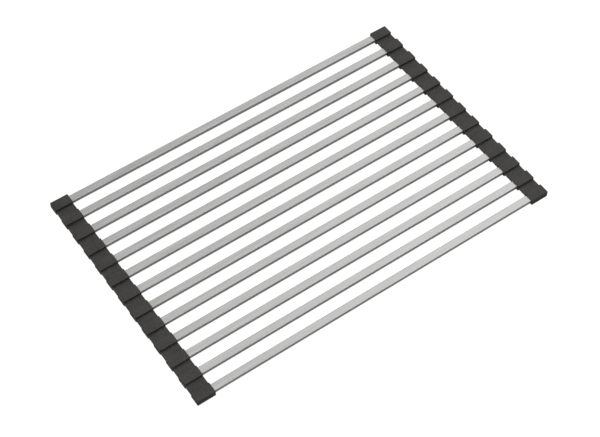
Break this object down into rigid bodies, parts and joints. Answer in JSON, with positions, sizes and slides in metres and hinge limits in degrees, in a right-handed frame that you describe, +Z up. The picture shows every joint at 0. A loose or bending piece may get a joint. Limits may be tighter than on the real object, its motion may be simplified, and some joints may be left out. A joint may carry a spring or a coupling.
{
  "type": "roll-up drying rack",
  "caption": "Roll-up over-sink drying rack: a row of flat hollow steel tubes joined at both ends by flexible silicone strips, so that the mat rolls up for storage.",
  "frame": {"origin": "under the middle of the rack lying flat, on the plane that its blocks rest on", "axes": "+X along the tubes to the right, +Y across the tubes to the far end, +Z up through the thickness"},
  "size_m": [0.4764, 0.3132, 0.0084],
  "materials": {
    "steel_tube": "satin brushed stainless steel, grain along the tube",
    "silicone_strip": "matt dark grey silicone, fine moulded texture"
  },
  "bodies": {
    "bar_01": {"tube_01": "steel_tube", "left_block_01": "silicone_strip", "right_block_01": "silicone_strip", "hinge_web_01": "silicone_strip"},
    "bar_02": {"tube_02": "steel_tube", "left_block_02": "silicone_strip", "right_block_02": "silicone_strip", "hinge_web_02": "silicone_strip"},
    "bar_03": {"tube_03": "steel_tube", "left_block_03": "silicone_strip", "right_block_03": "silicone_strip", "hinge_web_03": "silicone_strip"},
    "bar_04": {"tube_04": "steel_tube", "left_block_04": "silicone_strip", "right_block_04": "silicone_strip", "hinge_web_04": "silicone_strip"},
    "bar_05": {"tube_05": "steel_tube", "left_block_05": "silicone_strip", "right_block_05": "silicone_strip", "hinge_web_05": "silicone_strip"},
    "bar_06": {"tube_06": "steel_tube", "left_block_06": "silicone_strip", "right_block_06": "silicone_strip", "hinge_web_06": "silicone_strip"},
    "bar_07": {"tube_07": "steel_tube", "left_block_07": "silicone_strip", "right_block_07": "silicone_strip", "hinge_web_07": "silicone_strip"},
    "bar_08": {"tube_08": "steel_tube", "left_block_08": "silicone_strip", "right_block_08": "silicone_strip", "hinge_web_08": "silicone_strip"},
    "bar_09": {"tube_09": "steel_tube", "left_block_09": "silicone_strip", "right_block_09": "silicone_strip", "hinge_web_09": "silicone_strip"},
    "bar_10": {"tube_10": "steel_tube", "left_block_10": "silicone_strip", "right_block_10": "silicone_strip", "hinge_web_10": "silicone_strip"},
    "bar_11": {"tube_11": "steel_tube", "left_block_11": "silicone_strip", "right_block_11": "silicone_strip", "hinge_web_11": "silicone_strip"},
    "bar_12": {"tube_12": "steel_tube", "left_block_12": "silicone_strip", "right_block_12": "silicone_strip", "hinge_web_12": "silicone_strip"},
    "bar_13": {"tube_13": "steel_tube", "left_block_13": "silicone_strip", "right_block_13": "silicone_strip"}
  },
  "joints": [
    {"name": "hinge_01", "type": "hinge", "parent": "bar_01", "child": "bar_02", "pos_m": [0, -0.1375, 0.0042], "axis": [1, 0, 0], "range_deg": [0, 44], "stiffness_Nm_per_rad": 0.004, "deforming": ["hinge_web_01"]},
    {"name": "hinge_02", "type": "hinge", "parent": "bar_02", "child": "bar_03", "pos_m": [0, -0.1125, 0.0042], "axis": [1, 0, 0], "range_deg": [0, 45.77], "stiffness_Nm_per_rad": 0.004, "deforming": ["hinge_web_02"]},
    {"name": "hinge_03", "type": "hinge", "parent": "bar_03", "child": "bar_04", "pos_m": [0, -0.0875, 0.0042], "axis": [1, 0, 0], "range_deg": [0, 47.66], "stiffness_Nm_per_rad": 0.004, "deforming": ["hinge_web_03"]},
    {"name": "hinge_04", "type": "hinge", "parent": "bar_04", "child": "bar_05", "pos_m": [0, -0.0625, 0.0042], "axis": [1, 0, 0], "range_deg": [0, 49.86], "stiffness_Nm_per_rad": 0.004, "deforming": ["hinge_web_04"]},
    {"name": "hinge_05", "type": "hinge", "parent": "bar_05", "child": "bar_06", "pos_m": [0, -0.0375, 0.0042], "axis": [1, 0, 0], "range_deg": [0, 52.32], "stiffness_Nm_per_rad": 0.004, "deforming": ["hinge_web_05"]},
    {"name": "hinge_06", "type": "hinge", "parent": "bar_06", "child": "bar_07", "pos_m": [0, -0.0125, 0.0042], "axis": [1, 0, 0], "range_deg": [0, 55.27], "stiffness_Nm_per_rad": 0.004, "deforming": ["hinge_web_06"]},
    {"name": "hinge_07", "type": "hinge", "parent": "bar_07", "child": "bar_08", "pos_m": [0, 0.0125, 0.0042], "axis": [1, 0, 0], "range_deg": [0, 58.75], "stiffness_Nm_per_rad": 0.004, "deforming": ["hinge_web_07"]},
    {"name": "hinge_08", "type": "hinge", "parent": "bar_08", "child": "bar_09", "pos_m": [0, 0.0375, 0.0042], "axis": [1, 0, 0], "range_deg": [0, 62.97], "stiffness_Nm_per_rad": 0.004, "deforming": ["hinge_web_08"]},
    {"name": "hinge_09", "type": "hinge", "parent": "bar_09", "child": "bar_10", "pos_m": [0, 0.0625, 0.0042], "axis": [1, 0, 0], "range_deg": [0, 68.25], "stiffness_Nm_per_rad": 0.004, "deforming": ["hinge_web_09"]},
    {"name": "hinge_10", "type": "hinge", "parent": "bar_10", "child": "bar_11", "pos_m": [0, 0.0875, 0.0042], "axis": [1, 0, 0], "range_deg": [0, 75.16], "stiffness_Nm_per_rad": 0.004, "deforming": ["hinge_web_10"]},
    {"name": "hinge_11", "type": "hinge", "parent": "bar_11", "child": "bar_12", "pos_m": [0, 0.1125, 0.0042], "axis": [1, 0, 0], "range_deg": [0, 84.71], "stiffness_Nm_per_rad": 0.004, "deforming": ["hinge_web_11"]},
    {"name": "hinge_12", "type": "hinge", "parent": "bar_12", "child": "bar_13", "pos_m": [0, 0.1375, 0.0042], "axis": [1, 0, 0], "range_deg": [0, 99.18], "stiffness_Nm_per_rad": 0.004, "deforming": ["hinge_web_12"]}
  ],
  "couplings": [
    {"joint": "hinge_02", "follows": "hinge_01", "ratio": 1.039},
    {"joint": "hinge_03", "follows": "hinge_01", "ratio": 1.082},
    {"joint": "hinge_04", "follows": "hinge_01", "ratio": 1.132},
    {"joint": "hinge_05", "follows": "hinge_01", "ratio": 1.188},
    {"joint": "hinge_06", "follows": "hinge_01", "ratio": 1.255},
    {"joint": "hinge_07", "follows": "hinge_01", "ratio": 1.334},
    {"joint": "hinge_08", "follows": "hinge_01", "ratio": 1.43},
    {"joint": "hinge_09", "follows": "hinge_01", "ratio": 1.55},
    {"joint": "hinge_10", "follows": "hinge_01", "ratio": 1.707},
    {"joint": "hinge_11", "follows": "hinge_01", "ratio": 1.924},
    {"joint": "hinge_12", "follows": "hinge_01", "ratio": 2.253}
  ]
}
